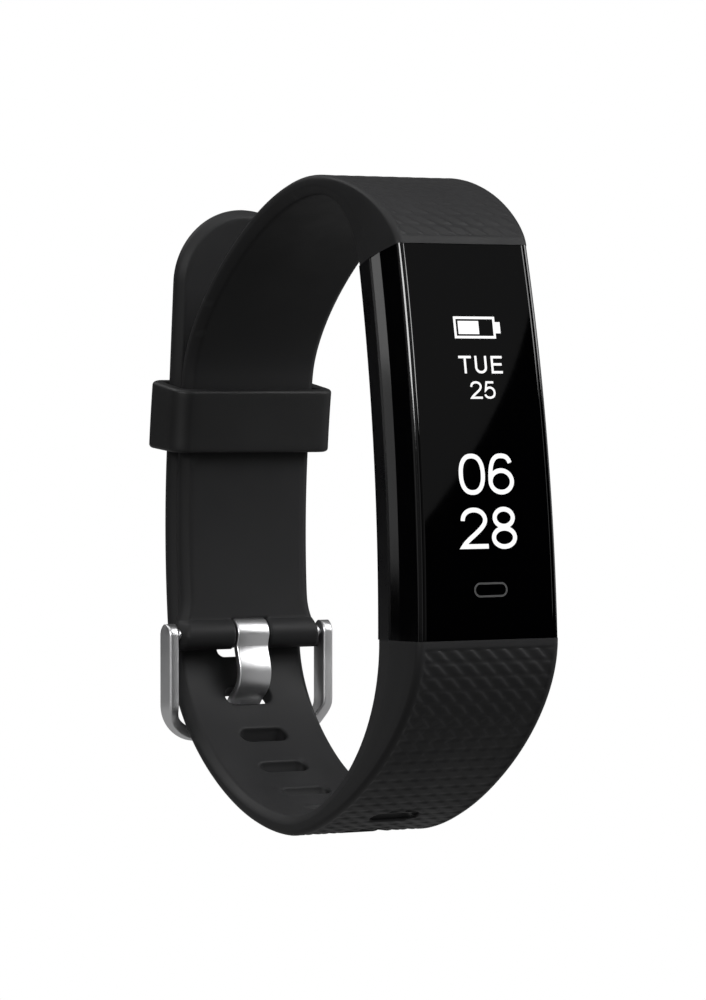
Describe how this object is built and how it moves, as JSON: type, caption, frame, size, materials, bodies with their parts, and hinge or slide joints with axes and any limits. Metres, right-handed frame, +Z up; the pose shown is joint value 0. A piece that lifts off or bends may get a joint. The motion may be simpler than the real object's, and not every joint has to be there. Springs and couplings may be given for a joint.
{
  "type": "fitness tracker band",
  "caption": "Slim wrist activity tracker: curved glass-front module between two soft straps closed by a pin buckle and keeper loop.",
  "frame": {"origin": "centre of the wrist opening, halfway across the band", "axes": "+X across the band along the arm, -Y out of the display, +Z up on the display"},
  "size_m": [0.0208, 0.0582, 0.0703],
  "materials": {
    "lens_glass": "polished black-backed cover glass",
    "housing_gloss": "piano black, polished",
    "cover_plastic": "fine satin texture",
    "strap_rubber": "matte soft-touch elastomer, ribbed outside",
    "keeper_rubber": "smooth satin elastomer",
    "steel": "satin stainless steel",
    "spring_steel": "drawn wire",
    "adhesive": "black foam tape",
    "window_tint": "dark tinted clear window",
    "display_black": "unlit display panel",
    "polyimide": "amber flexible circuit",
    "board_green": "solder mask",
    "chip_black": "moulded epoxy",
    "ceramic": "fired ceramic",
    "cell_foil": "laminated pouch foil",
    "foam": "closed-cell foam",
    "led_green": "clear encapsulant",
    "gold": "gold-plated contact",
    "tungsten": "sintered weight"
  },
  "bodies": {
    "band": {"main_housing": "housing_gloss", "back_cover": "cover_plastic", "front_lens": "lens_glass", "lens_adhesive": "adhesive", "cover_seal": "adhesive", "sensor_window": "window_tint", "display_panel": "display_black", "display_flex": "polyimide", "touch_pad": "polyimide", "main_board": "board_green", "processor_chip": "chip_black", "motion_sensor_chip": "chip_black", "antenna": "ceramic", "battery_cell": "cell_foil", "battery_pad": "foam", "sensor_board": "board_green", "sensor_leds": "led_green", "photodiode": "chip_black", "motor_case": "spring_steel", "motor_shaft": "spring_steel", "usb_contacts": "gold", "upper_strap": "strap_rubber", "lower_strap": "strap_rubber", "spring_bar_tube": "steel", "spring_bar_spring": "spring_steel"},
    "keeper": {"keeper_loop": "keeper_rubber"},
    "buckle": {"buckle_frame": "steel"},
    "tongue": {"buckle_tongue": "steel"},
    "left_tip": {"spring_bar_tip_left": "steel"},
    "right_tip": {"spring_bar_tip_right": "steel"},
    "rotor": {"motor_rotor": "tungsten"}
  },
  "joints": [
    {"name": "keeper_slide", "type": "hinge", "parent": "band", "child": "keeper", "pos_m": [0, -0.0767, -0.0032], "axis": [1, 0, 0], "range_deg": [-9, 0]},
    {"name": "buckle_hinge", "type": "hinge", "parent": "band", "child": "buckle", "pos_m": [0, 0.0213, -0.0151], "axis": [1, 0, 0], "range_deg": [0, 3]},
    {"name": "tongue_hinge", "type": "hinge", "parent": "buckle", "child": "tongue", "pos_m": [0, 0.0213, -0.0151], "axis": [1, 0, 0], "range_deg": [0, 1.2]},
    {"name": "left_tip_slide", "type": "slide", "parent": "band", "child": "left_tip", "axis": [1, 0, 0], "range_m": [0, 0.0013], "stiffness_N_per_m": 1500, "springref_m": -0.0015},
    {"name": "right_tip_slide", "type": "slide", "parent": "band", "child": "right_tip", "axis": [-1, 0, 0], "range_m": [0, 0.0013], "stiffness_N_per_m": 1500, "springref_m": -0.0015},
    {"name": "motor_spin", "type": "hinge", "parent": "band", "child": "rotor", "pos_m": [0, -0.02573, -0.00708], "axis": [0, 0.9918, -0.1279], "continuous": true}
  ]
}
